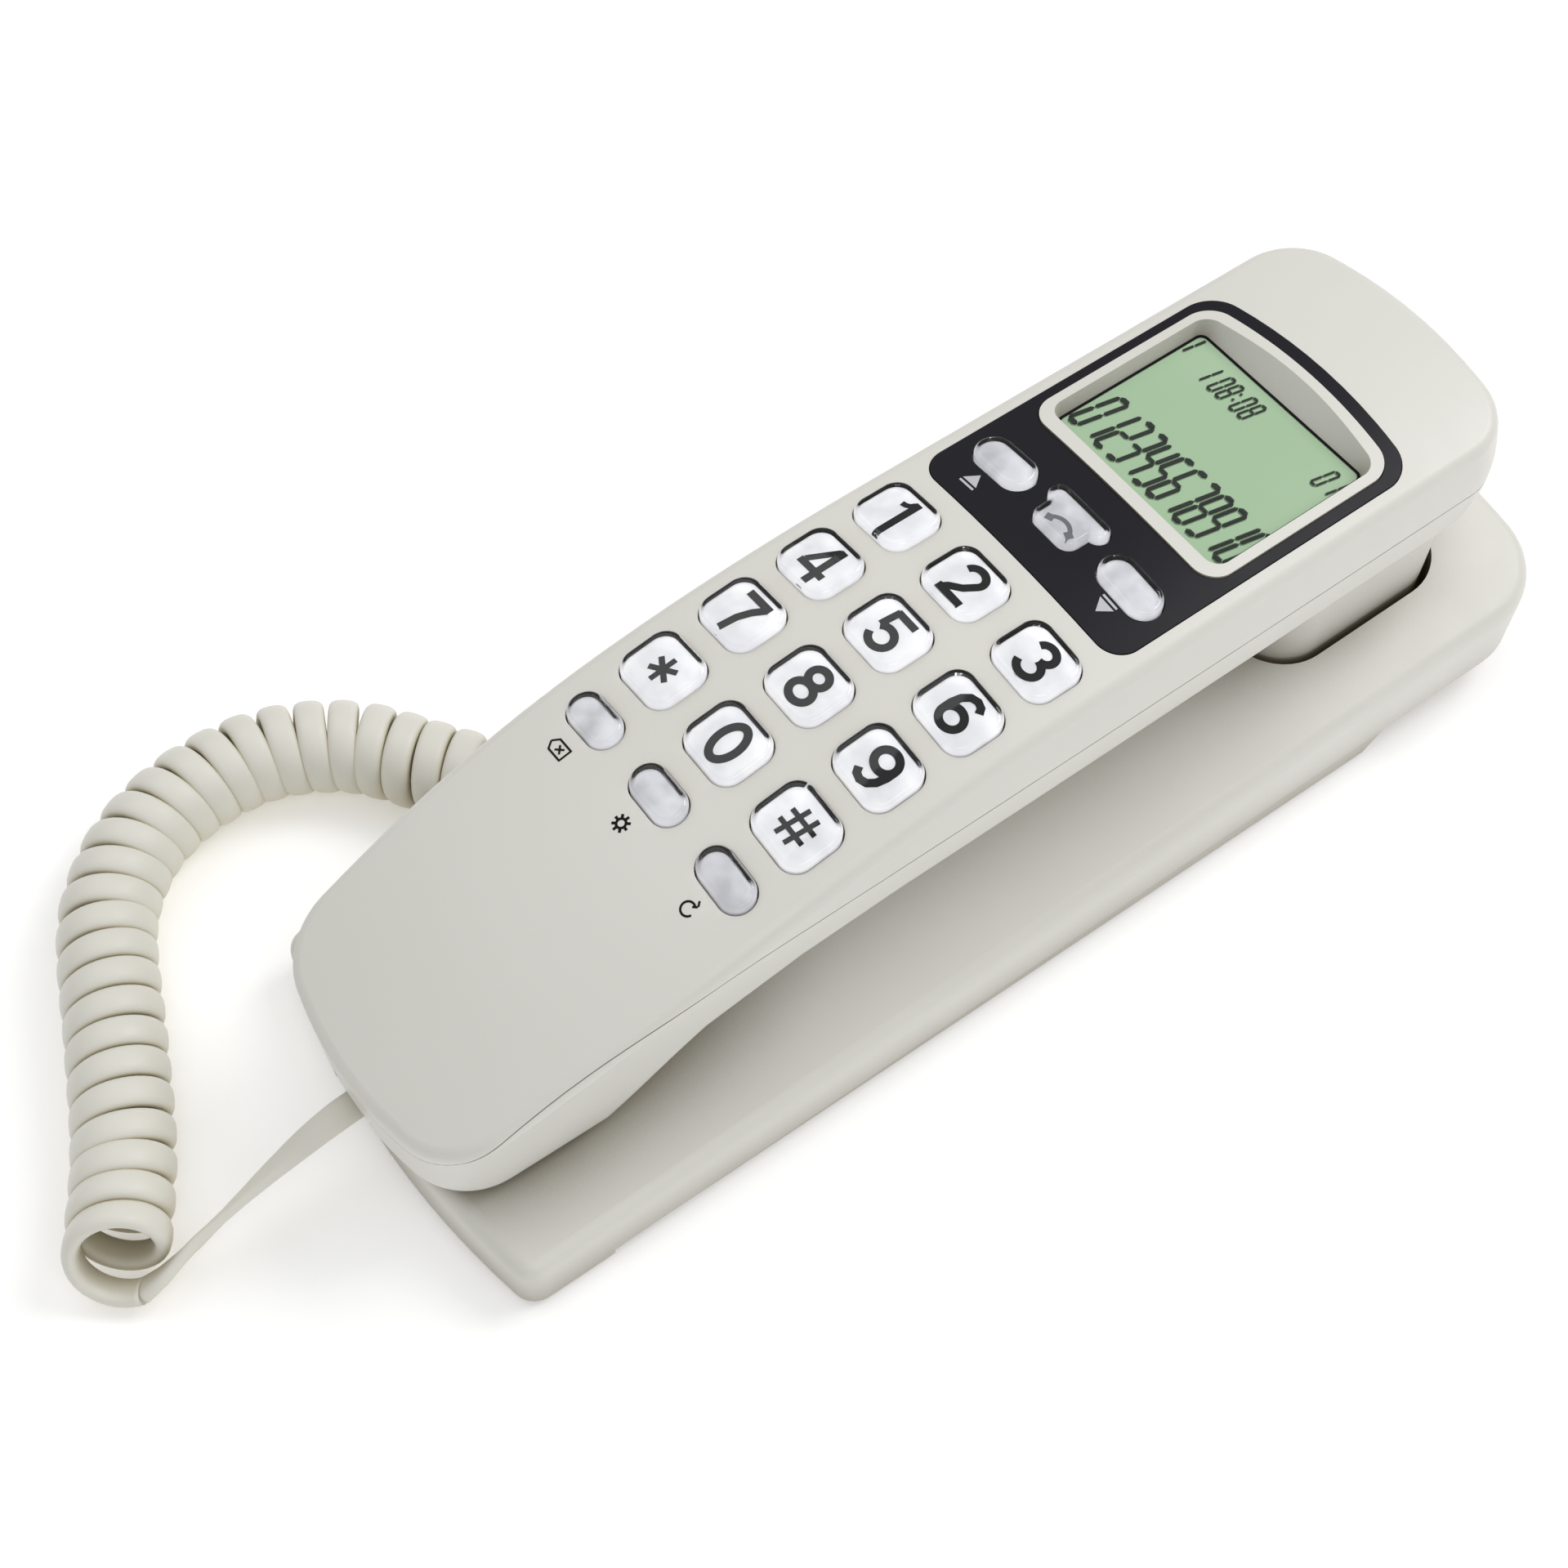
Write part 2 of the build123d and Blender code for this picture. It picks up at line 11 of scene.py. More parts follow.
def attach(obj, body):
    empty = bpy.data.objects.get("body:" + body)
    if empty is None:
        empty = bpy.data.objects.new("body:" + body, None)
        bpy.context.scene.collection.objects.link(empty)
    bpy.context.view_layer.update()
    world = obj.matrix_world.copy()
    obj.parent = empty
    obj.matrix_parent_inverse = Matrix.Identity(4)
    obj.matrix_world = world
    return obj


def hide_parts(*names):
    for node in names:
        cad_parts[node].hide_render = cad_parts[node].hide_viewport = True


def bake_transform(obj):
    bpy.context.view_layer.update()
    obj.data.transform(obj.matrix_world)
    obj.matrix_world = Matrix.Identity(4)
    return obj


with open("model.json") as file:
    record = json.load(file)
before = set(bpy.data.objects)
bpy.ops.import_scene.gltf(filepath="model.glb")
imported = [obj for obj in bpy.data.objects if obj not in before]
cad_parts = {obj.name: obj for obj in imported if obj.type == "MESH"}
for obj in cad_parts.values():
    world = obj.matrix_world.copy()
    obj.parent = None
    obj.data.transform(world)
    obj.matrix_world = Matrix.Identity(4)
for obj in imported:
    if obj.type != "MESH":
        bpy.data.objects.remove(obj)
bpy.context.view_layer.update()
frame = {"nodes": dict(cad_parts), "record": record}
nodes = frame["nodes"]
MM = 0.001


# ---------------------------------------------------------------- the handset's face
FACE_TILT = math.radians(2.44)
FACE_Y = -0.9
FACE_HEIGHT = 62.5
CROWN_R = 151.5
DROOP_R = 272.0
FACE = Matrix.Translation((0, FACE_Y * MM, FACE_HEIGHT * MM)) @ Matrix.Rotation(FACE_TILT, 4, "X")


def face_z(x, y):
    """Height of the crowned, drooping face over a point, in mm of the face frame."""
    z = -CROWN_R + math.sqrt(CROWN_R ** 2 - x * x)
    if y < 0:
        z += -DROOP_R + math.sqrt(DROOP_R ** 2 - y * y)
    return z


def on_face(x, y, lift=0.0):
    """Point in the row frame, metres, over the face point x, y in mm."""
    return FACE @ Vector((x * MM, y * MM, (face_z(x, y) + lift) * MM))


# ---------------------------------------------------------------- materials
def material(name):
    """New node material; returns it with its tree and main shader."""
    mat = bpy.data.materials.new(name)
    mat.use_nodes = True
    tree = mat.node_tree
    return mat, tree, tree.nodes["Principled BSDF"]


def noise(tree, scale, detail=4.0, rough=0.5):
    """Noise in object coordinates, scale in cells per metre."""
    coords = tree.nodes.new("ShaderNodeTexCoord")
    tex = tree.nodes.new("ShaderNodeTexNoise")
    tex.inputs["Scale"].default_value = scale
    tex.inputs["Detail"].default_value = detail
    tex.inputs["Roughness"].default_value = rough
    tree.links.new(coords.outputs["Object"], tex.inputs["Vector"])
    return tex


def ramp(tree, source, low, high, start=0.3, end=0.7):
    """Colour ramp between two colours or greys."""
    node = tree.nodes.new("ShaderNodeValToRGB")
    node.color_ramp.elements[0].position = start
    node.color_ramp.elements[1].position = end
    node.color_ramp.elements[0].color = (*low, 1)
    node.color_ramp.elements[1].color = (*high, 1)
    tree.links.new(source, node.inputs["Fac"])
    return node


def bump(tree, shader, source, strength, distance):
    node = tree.nodes.new("ShaderNodeBump")
    node.inputs["Strength"].default_value = strength
    node.inputs["Distance"].default_value = distance
    tree.links.new(source, node.inputs["Height"])
    tree.links.new(node.outputs["Normal"], shader.inputs["Normal"])


def plastic(
    name, low, high, rough=(0.32, 0.42), grain=0.06, cells=2600.0, sheen=0.0, painted_shade=None, shine=0.5,
):
    """Moulded plastic: colour drift, fine grain and uneven gloss; the optional shade tint is painted shade,
    multiplied into the colour in sheltered places.
    """
    mat, tree, shader = material(name)
    drift = noise(tree, 14.0, 3.0)
    colour = ramp(tree, drift.outputs["Fac"], low, high).outputs["Color"]
    # painted shade: ambient occlusion darkens and warms the colour in creases, recesses and under other
    # parts
    if painted_shade:
        shade_occlusion = tree.nodes.new("ShaderNodeAmbientOcclusion")
        shade_occlusion.samples = 6
        shade_occlusion.inputs["Distance"].default_value = PAINTED_SHADE_REACH
        tint = ramp(tree, shade_occlusion.outputs["AO"], painted_shade, (1, 1, 1), 0.3, 0.8)
        mix = tree.nodes.new("ShaderNodeMix")
        mix.data_type = "RGBA"
        mix.blend_type = "MULTIPLY"
        mix.inputs["Factor"].default_value = 1.0
        tree.links.new(colour, mix.inputs["A"])
        tree.links.new(tint.outputs["Color"], mix.inputs["B"])
        colour = mix.outputs["Result"]
    tree.links.new(colour, shader.inputs["Base Color"])
    gloss = noise(tree, 90.0, 5.0)
    grey = ramp(tree, gloss.outputs["Fac"], (rough[0],) * 3, (rough[1],) * 3)
    tree.links.new(grey.outputs["Color"], shader.inputs["Roughness"])
    fine = noise(tree, cells, 2.0)
    bump(tree, shader, fine.outputs["Fac"], grain, 0.00004)
    shader.inputs["Sheen Weight"].default_value = sheen
    shader.inputs["Specular IOR Level"].default_value = shine
    return mat


# reach in metres of the occlusion test that places the painted shade
PAINTED_SHADE_REACH = 0.022
# ivory; its last colour is a warm brown painted shade for sheltered places
IVORY = plastic(
    "ivory_plastic", (0.72, 0.71, 0.655), (0.75, 0.74, 0.69), (0.36, 0.46), painted_shade=(0.30, 0.255, 0.17),
)
# cord; its last colour is a warm painted shade for its sheltered places
CORD = plastic(
    "cord_ivory", (0.76, 0.745, 0.67), (0.80, 0.785, 0.71), (0.42, 0.52), 0.1, 1800.0, 0.1,
    (0.76, 0.71, 0.58),
)
PANEL = plastic("dark_panel", (0.011, 0.011, 0.015), (0.015, 0.015, 0.020), (0.3, 0.38), 0.04, shine=0.16)
BLACK = plastic("black_plastic", (0.02, 0.02, 0.02), (0.03, 0.03, 0.03), (0.45, 0.6), 0.12)
WHITE = plastic("white_plastic", (0.78, 0.78, 0.78), (0.84, 0.84, 0.84), (0.35, 0.45), 0.05)
RUBBER = plastic("grey_rubber", (0.16, 0.16, 0.17), (0.21, 0.21, 0.22), (0.6, 0.75), 0.15)
FOOT = plastic("foot_rubber", (0.03, 0.03, 0.03), (0.05, 0.05, 0.05), (0.7, 0.85), 0.3, 900.0)
# ink of the printed figures, also used for the painted shade ring round the display glass
INK_AND_GAP_SHADE = plastic("ink_and_gap_shade", (0.004, 0.004, 0.005), (0.008, 0.008, 0.009), (0.4, 0.5), 0.02, shine=0.1)
SIGN = plastic("sign_ink", (0.10, 0.10, 0.12), (0.15, 0.15, 0.17), (0.4, 0.5), 0.02)
PALE_INK = plastic("pale_ink", (0.50, 0.50, 0.54), (0.58, 0.58, 0.62), (0.4, 0.5), 0.02)


def metal(name, colour, rough):
    mat, tree, shader = material(name)
    shader.inputs["Metallic"].default_value = 1.0
    streak = noise(tree, 700.0, 6.0)
    low = tuple(c * 0.85 for c in colour)
    streaks = ramp(tree, streak.outputs["Fac"], low, colour)
    tree.links.new(streaks.outputs["Color"], shader.inputs["Base Color"])
    shader.inputs["Roughness"].default_value = rough
    bump(tree, shader, streak.outputs["Fac"], 0.15, 0.00005)
    return mat


STEEL = metal("steel", (0.62, 0.62, 0.64), 0.3)
BRASS = metal("brass", (0.78, 0.6, 0.3), 0.28)


def clear(name, tint, rough=0.02):
    """Clear moulded acrylic with faint flow waviness."""
    mat, tree, shader = material(name)
    shader.inputs["Base Color"].default_value = (*tint, 1)
    shader.inputs["Transmission Weight"].default_value = 1.0
    shader.inputs["IOR"].default_value = 1.49
    wave = noise(tree, 260.0, 2.0)
    grey = ramp(tree, wave.outputs["Fac"], (rough,) * 3, (rough * 2.5,) * 3)
    tree.links.new(grey.outputs["Color"], shader.inputs["Roughness"])
    bump(tree, shader, wave.outputs["Fac"], 0.08, 0.0002)
    through = tree.nodes.new("ShaderNodeBsdfTransparent")
    through.inputs["Color"].default_value = (*tint, 1)
    ray = tree.nodes.new("ShaderNodeLightPath")
    mix = tree.nodes.new("ShaderNodeMixShader")
    tree.links.new(ray.outputs["Is Shadow Ray"], mix.inputs["Fac"])
    tree.links.new(shader.outputs["BSDF"], mix.inputs[1])
    tree.links.new(through.outputs["BSDF"], mix.inputs[2])
    tree.links.new(mix.outputs["Shader"], tree.nodes["Material Output"].inputs["Surface"])
    return mat


ACRYLIC = clear("clear_key", (0.97, 0.975, 0.985))
PLUG = clear("clear_plug", (0.9, 0.93, 0.93), 0.06)


def silver(name, low, high):
    """Pearly core under the clear caps."""
    mat, tree, shader = material(name)
    tex = noise(tree, 190.0, 2.0)
    tree.links.new(
        ramp(tree, tex.outputs["Fac"], low, high, 0.38, 0.62).outputs["Color"],
        shader.inputs["Base Color"],
    )
    shader.inputs["Roughness"].default_value = 0.42
    bump(tree, shader, tex.outputs["Fac"], 0.05, 0.0001)
    return mat


CORE = silver("key_core", (0.80, 0.80, 0.83), (0.93, 0.93, 0.94))
DULL_CORE = silver("key_core_dull", (0.52, 0.52, 0.55), (0.72, 0.72, 0.75))


def circuit():
    """Solder mask with brighter tracks."""
    mat, tree, shader = material("circuit_board")
    coords = tree.nodes.new("ShaderNodeTexCoord")
    brick = tree.nodes.new("ShaderNodeTexBrick")
    brick.inputs["Scale"].default_value = 220.0
    brick.inputs["Color1"].default_value = (0.02, 0.16, 0.06, 1)
    brick.inputs["Color2"].default_value = (0.03, 0.2, 0.08, 1)
    brick.inputs["Mortar"].default_value = (0.06, 0.34, 0.14, 1)
    tree.links.new(coords.outputs["Object"], brick.inputs["Vector"])
    tree.links.new(brick.outputs["Color"], shader.inputs["Base Color"])
    shader.inputs["Roughness"].default_value = 0.3
    bump(tree, shader, brick.outputs["Fac"], 0.1, 0.0001)
    return mat


BOARD = circuit()


def display():
    """Reflective liquid-crystal glass: pale green with a slow cast and a faint grain."""
    mat, tree, shader = material("display_green")
    cast = noise(tree, 22.0, 2.0)
    tree.links.new(
        ramp(tree, cast.outputs["Fac"], (0.375, 0.55, 0.345), (0.425, 0.59, 0.395)).outputs["Color"],
        shader.inputs["Base Color"],
    )
    shader.inputs["Roughness"].default_value = 0.3
    shader.inputs["Coat Weight"].default_value = 0.15
    shader.inputs["Coat Roughness"].default_value = 0.1
    grain = noise(tree, 6000.0, 1.0)
    bump(tree, shader, grain.outputs["Fac"], 0.02, 0.00005)
    return mat


GLASS = display()


def segment_ink(name, alpha):
    mat, tree, shader = material(name)
    tex = noise(tree, 2200.0, 2.0)
    tree.links.new(
        ramp(tree, tex.outputs["Fac"], (0.008, 0.014, 0.010), (0.016, 0.024, 0.018)).outputs["Color"],
        shader.inputs["Base Color"],
    )
    shader.inputs["Roughness"].default_value = 0.4
    shader.inputs["Alpha"].default_value = alpha
    return mat


SEGMENT = segment_ink("segment_dark", 0.95)
SEGMENT_FAINT = segment_ink("segment_faint", 0.62)
SEGMENT_SHADE = segment_ink("segment_shade", 0.22)

SLOT_MATERIAL = {
    "ivory_plastic": IVORY, "rubber": FOOT, "screw_steel": STEEL, "circuit_board": BOARD,
    "brass_disc": BRASS, "black_plastic": BLACK, "clear_plastic": PLUG, "cord_ivory": CORD,
    "dark_panel": PANEL, "display_green": GLASS, "white_plastic": WHITE, "grey_rubber": RUBBER,
    "receiver_steel": STEEL, "clear_key": ACRYLIC,
}
for part in frame["record"]["subparts"]:
    mesh = nodes[part["node"]].data
    mesh.materials.clear()
    mesh.materials.append(SLOT_MATERIAL[part["material_slot"]])


# ---------------------------------------------------------------- helpers for pieces
def piece(name, verts, faces, mat, body, smooth=True):
    """New mesh piece in the row frame, riding on a body."""
    mesh = bpy.data.meshes.new(name)
    mesh.from_pydata([tuple(v) for v in verts], [], faces)
    mesh.validate()
    mesh.materials.append(mat)
    if smooth:
        mesh.shade_smooth()
    obj = bpy.data.objects.new(name, mesh)
    bpy.context.scene.collection.objects.link(obj)
    if body:
        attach(obj, body)
    return obj


def rounded_outline(width, depth, radius, steps=7):
    """Points round a rounded rectangle, mm."""
    points = []
    for k, (sx, sy) in enumerate(((1, 1), (-1, 1), (-1, -1), (1, -1))):
        for i in range(steps):
            a = math.radians(90 * (k + i / (steps - 1)))
            points.append((
                sx * (width / 2 - radius) + radius * math.cos(a),
                sy * (depth / 2 - radius) + radius * math.sin(a),
            ))
    return points


def stack(rings):
    """Closed skin over rings of equal point count, with both ends capped."""
    n = len(rings[0])
    verts = [p for ring in rings for p in ring]
    faces = []
    for r in range(len(rings) - 1):
        for i in range(n):
            j = (i + 1) % n
            faces.append((r * n + i, r * n + j, (r + 1) * n + j, (r + 1) * n + i))
    faces.append(tuple(reversed(range(n))))
    faces.append(tuple(range((len(rings) - 1) * n, len(rings) * n)))
    return verts, faces


def merge(parts):
    """Several closed skins as one."""
    verts, faces = [], []
    for part_verts, part_faces in parts:
        base = len(verts)
        verts += part_verts
        faces += [tuple(base + i for i in face) for face in part_faces]
    return verts, faces


PRINT_THICK = 0.05


def slab(outline, place, lift):
    """Thin closed plate over an outline; place turns x, y, height into a point."""
    return stack([[place(x, y, z) for x, y in outline] for z in (lift - PRINT_THICK, lift)])


def strip(points, thick, place, lift, closed=False):
    """Thin closed plate along a line of points."""
    count = len(points)
    rings = []
    for i, (x, y) in enumerate(points):
        if closed:
            before, after = points[i - 1], points[(i + 1) % count]
        else:
            before, after = points[max(i - 1, 0)], points[min(i + 1, count - 1)]
        dx, dy = after[0] - before[0], after[1] - before[1]
        length = math.hypot(dx, dy)
        nx, ny = -dy / length * thick / 2, dx / length * thick / 2
        low = lift - PRINT_THICK
        rings.append([
            place(x + nx, y + ny, lift), place(x - nx, y - ny, lift),
            place(x - nx, y - ny, low), place(x + nx, y + ny, low),
        ])
    if not closed:
        return stack(rings)
    verts = [p for ring in rings for p in ring]
    faces = []
    for r in range(count):
        for i in range(4):
            a, b = r * 4, (r + 1) % count * 4
            faces.append((a + i, a + (i + 1) % 4, b + (i + 1) % 4, b + i))
    return verts, faces


def arc(cx, cy, rx, ry, start, end, count=20):
    """Points on an ellipse between two angles in degrees."""
    angles = [math.radians(start + (end - start) * i / (count - 1)) for i in range(count)]
    return [(cx + rx * math.cos(a), cy + ry * math.sin(a)) for a in angles]


def loop(cx, cy, rx, ry, count=36):
    """Points all round an ellipse."""
    return arc(cx, cy, rx, ry, 0, 360 * (count - 1) / count, count)


# ---------------------------------------------------------------- keys
PITCH_X = 17.0
PITCH_Y = 14.77
OVAL_ROW_Y = -56.9
PANEL_KEY_Y = 20.1
PANEL_KEY_X = 15.0
CORE_TOP = -0.45
CORE_BOTTOM = -2.1
CORE_CUT = -1.0
GLYPH_SIZE = 1.1
GLYPH_LIFT = 0.03
STROKE_STEP = 0.004
CORE_GAP = 0.5
DIAL = (("1", "2", "3"), ("4", "5", "6"), ("7", "8", "9"), ("star", "0", "hash"))
BOLD = 1.35
MEDIUM = 1.25
SIX_TAIL = [(1.75, 2.0), (1.25, 2.75), (0.3, 3.03), (-0.75, 2.65), (-1.5, 1.6), (-1.82, 0.1), (-1.82, -1.3)]
# each stroke: points about the key's middle in mm, thickness, whether it closes on itself
GLYPHS = {
    "0": [(loop(0, 0, 1.85, 3.02), BOLD, True)],
    "1": [
        ([(0.6, -3.7), (0.6, 0), (0.6, 3.7)], BOLD, False),
        ([(-1.45, 2.0), (-0.7, 2.15), (-0.1, 2.55), (0.25, 3.25)], 1.0, False),
    ],
    "2": [
        (arc(0, 1.55, 1.75, 1.47, 172, -28) + [(0.4, -0.9), (-1.2, -2.2), (-1.75, -3.1)], BOLD, False),
        ([(-2.4, -3.05), (0, -3.05), (2.45, -3.05)], 1.3, False),
    ],
    "3": [
        (arc(-0.1, 1.6, 1.6, 1.42, 168, -84), BOLD, False),
        (arc(-0.1, -1.42, 1.85, 1.6, 84, -168), BOLD, False),
    ],
    "4": [
        ([(0.95, -3.7), (0.95, 0), (0.95, 3.7)], BOLD, False),
        ([(0.6, 3.25), (-0.8, 1.0), (-2.1, -1.15)], 1.15, False),
        ([(-2.7, -1.6), (0, -1.6), (2.5, -1.6)], MEDIUM, False),
    ],
    "5": [
        ([(-1.75, 3.08), (0.2, 3.08), (2.1, 3.08)], MEDIUM, False),
        ([(-1.45, 3.3), (-1.65, 1.6), (-1.8, 0.0)], MEDIUM, False),
        (arc(-0.05, -1.25, 1.9, 1.78, 145, -162), BOLD, False),
    ],
    "6": [(loop(0, -1.32, 1.82, 1.7), BOLD, True), (SIX_TAIL, BOLD, False)],
    "7": [
        ([(-2.4, 3.05), (0, 3.05), (2.4, 3.05)], 1.3, False),
        ([(2.0, 2.9), (0.75, 1.1), (-0.1, -0.9), (-0.5, -3.7)], BOLD, False),
    ],
    "8": [(loop(0, 1.62, 1.55, 1.4), BOLD, True), (loop(0, -1.42, 1.85, 1.6), BOLD, True)],
    "9": [(loop(0, 1.32, 1.82, 1.7), BOLD, True), ([(-x, -y) for x, y in SIX_TAIL], BOLD, False)],
    "star": [
        ([(0, -2.2), (0, 0), (0, 2.2)], 0.95, False),
        ([(-1.9, -1.1), (0, 0), (1.9, 1.1)], 0.95, False),
        ([(-1.9, 1.1), (0, 0), (1.9, -1.1)], 0.95, False),
    ],
    "hash": [
        ([(-1.25, -2.7), (-0.65, 2.7)], 0.8, False),
        ([(0.65, -2.7), (1.25, 2.7)], 0.8, False),
        ([(-2.4, 1.0), (2.5, 1.0)], 0.8, False),
        ([(-2.5, -1.0), (2.4, -1.0)], 0.8, False),
    ],
}


def plan(node, x, y, depth, count=72):
    """Outline of a key cut at a height over the face, as evenly spaced points in mm, turning left."""
    cutter = bmesh.new()
    cutter.from_mesh(nodes[node].data)
    cutter.transform(FACE.inverted() @ nodes[node].matrix_world)
    height = (face_z(x, y) + depth) * MM
    geometry = cutter.verts[:] + cutter.edges[:] + cutter.faces[:]
    cut = bmesh.ops.bisect_plane(cutter, geom=geometry, plane_co=(0, 0, height), plane_no=(0, 0, 1))
    rim = [v.co / MM for v in cut["geom_cut"] if isinstance(v, bmesh.types.BMVert)]
    rim = sorted(((math.atan2(p.y - y, p.x - x), p.x, p.y) for p in rim))
    cutter.free()
    angles = np.array([r[0] for r in rim])
    even = []
    for k in range(count):
        a = -math.pi + 2 * math.pi * k / count
        even.append((
            float(np.interp(a, angles, [r[1] for r in rim], period=2 * math.pi)),
            float(np.interp(a, angles, [r[2] for r in rim], period=2 * math.pi)),
        ))
    return even


def inset(outline, amount):
    """Outline moved inwards."""
    moved = []
    for i, (x, y) in enumerate(outline):
        before, after = outline[i - 1], outline[(i + 1) % len(outline)]
        dx, dy = after[0] - before[0], after[1] - before[1]
        length = math.hypot(dx, dy)
        moved.append((x - dy / length * amount, y + dx / length * amount))
    return moved


def core(node, x, y, mat=None):
    """White core seen through the clear cap, following the cap's own outline."""
    outline = plan(node, x, y, CORE_CUT)
    rings = []
    for extra, z in ((0, CORE_BOTTOM), (0, CORE_TOP - 0.45), (0.15, CORE_TOP - 0.12), (0.5, CORE_TOP)):
        rings.append([on_face(px, py, z) for px, py in inset(outline, CORE_GAP + extra)])
    verts, faces = stack(rings)
    return piece(node + "_core", verts, faces, mat or CORE, node)


def figure(node, strokes, x, y, lift, mat=None, size=1.0):
    """Printed figure made of thick strokes, laid over the face."""
    parts = []
    for k, (points, thick, closed) in enumerate(strokes):
        points = [(x + px * size, y + py * size) for px, py in points]
        parts.append(strip(points, thick, on_face, lift + STROKE_STEP * k, closed))
    verts, faces = merge(parts)
    return piece(node + "_print", verts, faces, mat or INK_AND_GAP_SHADE, node, False)


for row, names in enumerate(DIAL):
    for column, name in enumerate(names):
        x, y = (column - 1) * PITCH_X, -row * PITCH_Y
        core("key_" + name, x, y)
        figure("key_" + name, GLYPHS[name], x, y + 0.1, CORE_TOP + GLYPH_LIFT, size=GLYPH_SIZE)
for column, name in enumerate(("left", "middle", "right")):
    core("key_function_" + name, (column - 1) * PITCH_X, OVAL_ROW_Y, DULL_CORE)
core("key_list_up", -PANEL_KEY_X, PANEL_KEY_Y, DULL_CORE)
core("key_list_down", PANEL_KEY_X, PANEL_KEY_Y, DULL_CORE)
core("key_call", 0.0, PANEL_KEY_Y, DULL_CORE)
HANDSET_SIGN = [
    (arc(0, -2.6, 2.7, 2.6, 150, 30, 14), 0.75, False),
    ([(-2.9, -1.6), (-1.6, -1.1)], 1.3, False), ([(1.6, -1.1), (2.9, -1.6)], 1.3, False),
]

# ---------------------------------------------------------------- display figures
LCD_Z = -3.62
FIGURE_LIFT = 0.12
SEGMENTS = {
    "0": "abcdef", "1": "bc", "2": "abged", "3": "abgcd", "4": "fgbc", "5": "afgcd",
    "6": "afgedc", "7": "abc", "8": "abcdefg", "9": "abcdfg", "-": "g",
}


def bar(ax, ay, bx, by, thick):
    """Pointed bar between two points."""
    dx, dy = bx - ax, by - ay
    length = math.hypot(dx, dy)
    ux, uy = dx / length, dy / length
    nx, ny = -uy * thick / 2, ux * thick / 2
    tip = thick / 2
    return [
        (ax, ay), (ax + ux * tip - nx, ay + uy * tip - ny), (bx - ux * tip - nx, by - uy * tip - ny),
        (bx, by), (bx - ux * tip + nx, by - uy * tip + ny), (ax + ux * tip + nx, ay + uy * tip + ny),
    ]


def seven(figure, x, y, w, h, t, slant=0.2):
    """Polygons of one seven-segment figure whose lower left corner is x, y."""
    ends = {
        "a": ((0, h), (w, h)), "b": ((w, h), (w, h / 2)), "c": ((w, h / 2), (w, 0)), "d": ((0, 0), (w, 0)),
        "e": ((0, 0), (0, h / 2)), "f": ((0, h / 2), (0, h)), "g": ((0, h / 2), (w, h / 2)),
    }
    out = []
    for s in SEGMENTS[figure]:
        (ax, ay), (bx, by) = ends[s]
        gap = 0.12 * t
        length = math.hypot(bx - ax, by - ay)
        ux, uy = (bx - ax) / length, (by - ay) / length
        ax, ay, bx, by = ax + ux * gap, ay + uy * gap, bx - ux * gap, by - uy * gap
        thick = t * (1.35 if s in "ad" else 1.0)
        out.append([(x + px + slant * py, y + py) for px, py in bar(ax, ay, bx, by, thick)])
    return out


def on_display(x, y, lift):
    return FACE @ Vector((x * MM, y * MM, (LCD_Z + lift) * MM))


def lcd_piece(name, polygons, mat, lift, dx=0.0, dy=0.0):
    shapes = [slab([(x + dx, y + dy) for x, y in poly], on_display, lift) for poly in polygons]
    verts, faces = merge(shapes)
    return piece(name, verts, faces, mat, "handset", False)


dark, faint = [], []
BIG_X, BIG_PITCH, BIG_Y, BIG_H, BIG_W = -18.4, 3.15, 36.3, 9.4, 2.1
for k, shown in enumerate("012345678910"):
    target = dark if k < 8 else faint
    target += seven(shown, BIG_X + k * BIG_PITCH, BIG_Y, BIG_W, BIG_H, 0.7)
small = [("1", -12.9)] + [("0", -9.9), ("8", -7.9), ("0", -4.6), ("8", -2.6)] + [("0", 14.6), ("1", 16.8)]
for shown, x in small:
    (dark if x < -12 else faint).extend(seven(shown, x, 58.4, 1.15, 4.6, 0.34))
for dot_y in (59.8, 61.6):
    faint.append([(-5.55, dot_y), (-5.15, dot_y), (-5.08, dot_y + 0.42), (-5.48, dot_y + 0.42)])
dark.append([(-18.3, 60.6), (-17.9, 60.6), (-17.6, 62.6), (-18.0, 62.6)])
dark.append([(-17.9, 62.9), (-17.5, 62.9), (-17.2, 64.9), (-17.6, 64.9)])
lcd_piece("display_figures", dark, SEGMENT, FIGURE_LIFT)
lcd_piece("display_figures_faint", faint, SEGMENT_FAINT, FIGURE_LIFT)
lcd_piece("display_figure_shadows", dark + faint, SEGMENT_SHADE, 0.03, 0.12, -0.3)

GLASS_SIZE = (38.4, 32.0)
GLASS_Y = 49.8
GLASS_CORNER = 1.4
GAP_SHADE_WIDE = 0.5
# painted shade: a dark ring round the glass stands for the shadowed gap under the frame's edge
rim = rounded_outline(GLASS_SIZE[0] - GAP_SHADE_WIDE, GLASS_SIZE[1] - GAP_SHADE_WIDE, GLASS_CORNER, 9)
verts, faces = strip([(x, y + GLASS_Y) for x, y in rim], GAP_SHADE_WIDE, on_display, 0.09, True)
piece("display_gap_shade", verts, faces, INK_AND_GAP_SHADE, "handset", False)

# ---------------------------------------------------------------- small pictograms beside the keys
def line(ax, ay, bx, by, thick=0.3):
    return ([(ax, ay), (bx, by)], thick, False)


